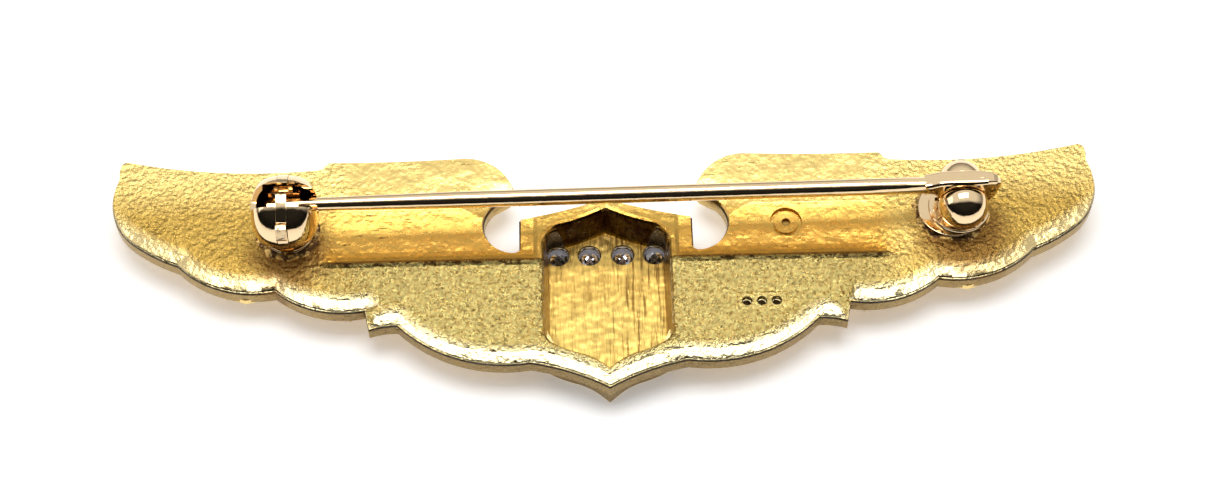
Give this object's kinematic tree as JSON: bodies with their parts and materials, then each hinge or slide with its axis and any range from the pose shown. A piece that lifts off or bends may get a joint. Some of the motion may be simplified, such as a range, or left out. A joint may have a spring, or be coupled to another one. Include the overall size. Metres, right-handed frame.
{
  "type": "pilot wings pin",
  "caption": "Gold pilot wings lapel pin with a central shield set with small stones, and a hinged pin stem with a ball safety catch on its back.",
  "frame": {"origin": "middle of the badge's width and height, on the plane that the shield's front border lies on", "axes": "+X along the wingspan, +Y from the shield's point to the tops of the wings, +Z out of the back, so the front faces -Z"},
  "size_m": [0.058, 0.0159, 0.0074],
  "materials": {
    "badge_gold": "satin yellow gold, blasted and slightly scratched",
    "fittings_gold": "polished yellow gold, slightly rosy",
    "stones": "clear faceted stone"
  },
  "bodies": {
    "badge": {"badge": "badge_gold", "stone_1": "stones", "stone_2": "stones", "stone_3": "stones", "stone_4": "stones", "catch_base": "fittings_gold", "catch_shell_left": "fittings_gold", "catch_shell_right": "fittings_gold", "joint_base": "fittings_gold", "joint_cheek_near": "fittings_gold", "joint_cheek_far": "fittings_gold", "joint_rivet": "fittings_gold"},
    "stem": {"pin_stem": "fittings_gold"},
    "latch": {"catch_rotor": "fittings_gold"}
  },
  "joints": [
    {"name": "stem_hinge", "type": "hinge", "parent": "badge", "child": "stem", "pos_m": [0.02073, 0.00323, 0.00462], "axis": [0, 1, 0], "range_deg": [0, 60]},
    {"name": "latch_turn", "type": "hinge", "parent": "badge", "child": "latch", "pos_m": [-0.0185, 0.00245, 0.0053], "axis": [-1, 0, 0], "range_deg": [0, 100]}
  ]
}
